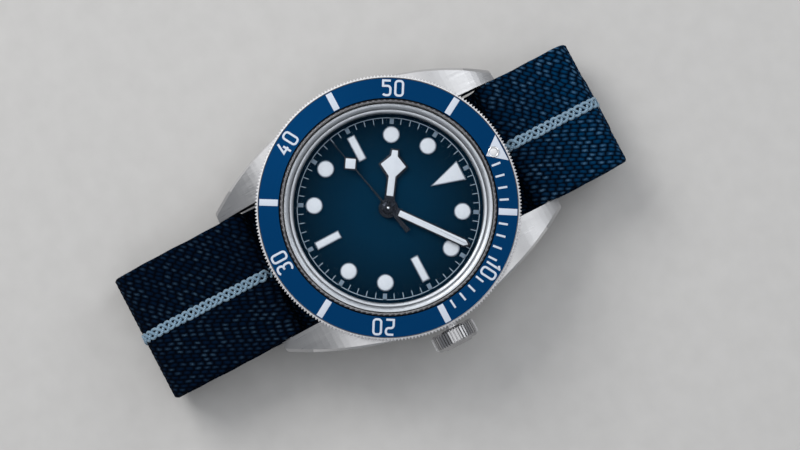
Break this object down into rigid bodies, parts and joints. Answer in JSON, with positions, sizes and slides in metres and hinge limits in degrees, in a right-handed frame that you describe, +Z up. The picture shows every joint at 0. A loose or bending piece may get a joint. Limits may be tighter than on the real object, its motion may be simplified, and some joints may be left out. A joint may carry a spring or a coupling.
{
  "type": "wristwatch",
  "caption": "Diving wristwatch: round steel case, turning blue bezel, domed crystal, three hands, screwed crown and a buckled one-piece woven strap, lying face up.",
  "frame": {"origin": "on the hands' axis, in the flat underside of the fixed keeper that the watch rests on", "axes": "+Z up out of the dial, +Y towards 12 o'clock, +X towards the crown"},
  "size_m": [0.0421, 0.0772, 0.0193],
  "materials": {
    "satin_steel": "satin brushed stainless steel",
    "polished_steel": "polished stainless steel",
    "plain_steel": "plain turned steel",
    "blued_steel": "heat blued steel",
    "black_rubber": "black rubber",
    "blue_insert": "matt blue anodised aluminium",
    "blue_dial": "matt blue lacquer",
    "sapphire": "clear domed crystal",
    "dark_rims": "black polished metal",
    "lume": "white luminous compound",
    "gilt_brass": "gilt brass",
    "plated_brass": "rhodium plated brass",
    "ruby": "synthetic ruby",
    "tungsten": "satin heavy alloy",
    "navy_webbing": "dense woven navy band with a pale centre stripe"
  },
  "bodies": {
    "case": {"balance_cock": "plated_brass", "barrel_bridge": "plated_brass", "bezel_click_spring": "plain_steel", "bezel_retaining_wire": "plain_steel", "bridge_screws": "blued_steel", "buckle_bar": "plain_steel", "case_back": "satin_steel", "case_back_gasket": "black_rubber", "crown_tube": "plain_steel", "crystal": "sapphire", "crystal_gasket": "black_rubber", "dial": "blue_dial", "fixed_keeper": "satin_steel", "flange_ring": "polished_steel", "hairspring": "blued_steel", "hour_marker_lume": "lume", "hour_marker_rims": "dark_rims", "mainplate": "plated_brass", "mid_case": "satin_steel", "movement_ring": "plain_steel", "pallet_bridge": "plated_brass", "pivot_jewels": "ruby", "rotor_bearing": "plain_steel", "spring_bars": "plain_steel", "strap": "navy_webbing", "train_bridge": "plated_brass"},
    "bezel": {"bezel_ring": "polished_steel", "bezel_insert": "blue_insert", "bezel_pearl": "lume"},
    "clutch": {"clutch_wheel": "plain_steel"},
    "crown_and_stem": {"crown": "polished_steel", "crown_gasket": "black_rubber", "winding_stem": "plain_steel"},
    "winding_pinion": {"winding_pinion": "plain_steel"},
    "crown_wheel": {"crown_wheel": "plain_steel"},
    "ratchet": {"ratchet_wheel": "plain_steel", "barrel_arbor": "plain_steel"},
    "seconds_train": {"fourth_wheel": "gilt_brass", "seconds_hand": "dark_rims", "seconds_hand_lume": "lume"},
    "minute_train": {"centre_wheel": "gilt_brass", "cannon_pinion": "plain_steel", "minute_hand": "dark_rims", "minute_hand_lume": "lume"},
    "hour_train": {"hour_wheel": "gilt_brass", "hour_hand": "dark_rims", "hour_hand_lume": "lume"},
    "minute_wheel": {"minute_wheel": "gilt_brass"},
    "third_wheel": {"third_wheel": "gilt_brass"},
    "escape_wheel": {"escape_wheel": "plain_steel"},
    "barrel": {"barrel": "gilt_brass", "mainspring": "blued_steel"},
    "pallet_fork": {"pallet_fork": "plain_steel"},
    "balance": {"balance_wheel": "gilt_brass"},
    "rotor": {"rotor": "tungsten"},
    "buckle_frame": {"buckle_frame": "satin_steel"},
    "buckle_tongue": {"buckle_tongue": "polished_steel"},
    "free_keeper": {"free_keeper": "satin_steel"}
  },
  "joints": [
    {"name": "bezel_turn", "type": "hinge", "parent": "case", "child": "bezel", "pos_m": [0, 0, 0.01595], "axis": [0, 0, 1], "continuous": true},
    {"name": "crown_turn", "type": "hinge", "parent": "case", "child": "clutch", "pos_m": [0, 0, 0.01185], "axis": [1, 0, 0], "continuous": true},
    {"name": "crown_pull", "type": "slide", "parent": "clutch", "child": "crown_and_stem", "axis": [1, 0, 0], "range_m": [0, 0.0018]},
    {"name": "winding_pinion_turn", "type": "hinge", "parent": "case", "child": "winding_pinion", "pos_m": [0.0091, 0, 0.01185], "axis": [1, 0, 0], "continuous": true},
    {"name": "crown_wheel_turn", "type": "hinge", "parent": "case", "child": "crown_wheel", "pos_m": [0.00723, 0, 0.01005], "axis": [0, 0, 1], "continuous": true},
    {"name": "ratchet_turn", "type": "hinge", "parent": "case", "child": "ratchet", "pos_m": [0.0032, 0.00435, 0.01005], "axis": [0, 0, 1], "continuous": true},
    {"name": "seconds_turn", "type": "hinge", "parent": "case", "child": "seconds_train", "pos_m": [0, 0, 0.01135], "axis": [0, 0, 1], "continuous": true},
    {"name": "minute_turn", "type": "hinge", "parent": "case", "child": "minute_train", "pos_m": [0, 0, 0.01195], "axis": [0, 0, 1], "continuous": true},
    {"name": "hour_turn", "type": "hinge", "parent": "case", "child": "hour_train", "pos_m": [0, 0, 0.01385], "axis": [0, 0, 1], "continuous": true},
    {"name": "minute_wheel_turn", "type": "hinge", "parent": "case", "child": "minute_wheel", "pos_m": [0.00226, -0.00082, 0.01365], "axis": [0, 0, 1], "continuous": true},
    {"name": "third_wheel_turn", "type": "hinge", "parent": "case", "child": "third_wheel", "pos_m": [-0.0039, 0.00225, 0.01165], "axis": [0, 0, 1], "continuous": true},
    {"name": "escape_wheel_turn", "type": "hinge", "parent": "case", "child": "escape_wheel", "pos_m": [0.0012, -0.00331, 0.01165], "axis": [0, 0, 1], "continuous": true},
    {"name": "barrel_turn", "type": "hinge", "parent": "case", "child": "barrel", "pos_m": [0.0032, 0.00435, 0.01225], "axis": [0, 0, 1], "continuous": true},
    {"name": "pallet_rock", "type": "hinge", "parent": "case", "child": "pallet_fork", "pos_m": [0.00073, -0.00602, 0.01165], "axis": [0, 0, 1], "range_deg": [-5, 5]},
    {"name": "balance_swing", "type": "hinge", "parent": "case", "child": "balance", "pos_m": [0.00021, -0.00897, 0.01095], "axis": [0, 0, 1], "range_deg": [-150, 150], "stiffness_Nm_per_rad": 0.0000005},
    {"name": "rotor_spin", "type": "hinge", "parent": "case", "child": "rotor", "pos_m": [0, 0, 0.00905], "axis": [0, 0, 1], "continuous": true},
    {"name": "buckle_frame_pivot", "type": "hinge", "parent": "case", "child": "buckle_frame", "pos_m": [0, -0.0085, 0.0041], "axis": [1, 0, 0], "range_deg": [-2, 0]},
    {"name": "buckle_tongue_pivot", "type": "hinge", "parent": "case", "child": "buckle_tongue", "pos_m": [0, -0.0085, 0.0041], "axis": [1, 0, 0], "range_deg": [0, 5]},
    {"name": "keeper_slide", "type": "slide", "parent": "case", "child": "free_keeper", "axis": [0, 1, 0], "range_m": [-0.008, 0.012]}
  ],
  "couplings": [
    {"joint": "minute_turn", "follows": "seconds_turn", "ratio": 0.016667},
    {"joint": "hour_turn", "follows": "seconds_turn", "ratio": 0.0013889},
    {"joint": "minute_wheel_turn", "follows": "seconds_turn", "ratio": -0.0055556},
    {"joint": "third_wheel_turn", "follows": "seconds_turn", "ratio": -0.13333},
    {"joint": "escape_wheel_turn", "follows": "seconds_turn", "ratio": -10},
    {"joint": "barrel_turn", "follows": "seconds_turn", "ratio": -0.0020833},
    {"joint": "winding_pinion_turn", "follows": "crown_turn", "ratio": 1},
    {"joint": "crown_wheel_turn", "follows": "crown_turn", "ratio": 0.6},
    {"joint": "ratchet_turn", "follows": "crown_turn", "ratio": -0.27778}
  ]
}
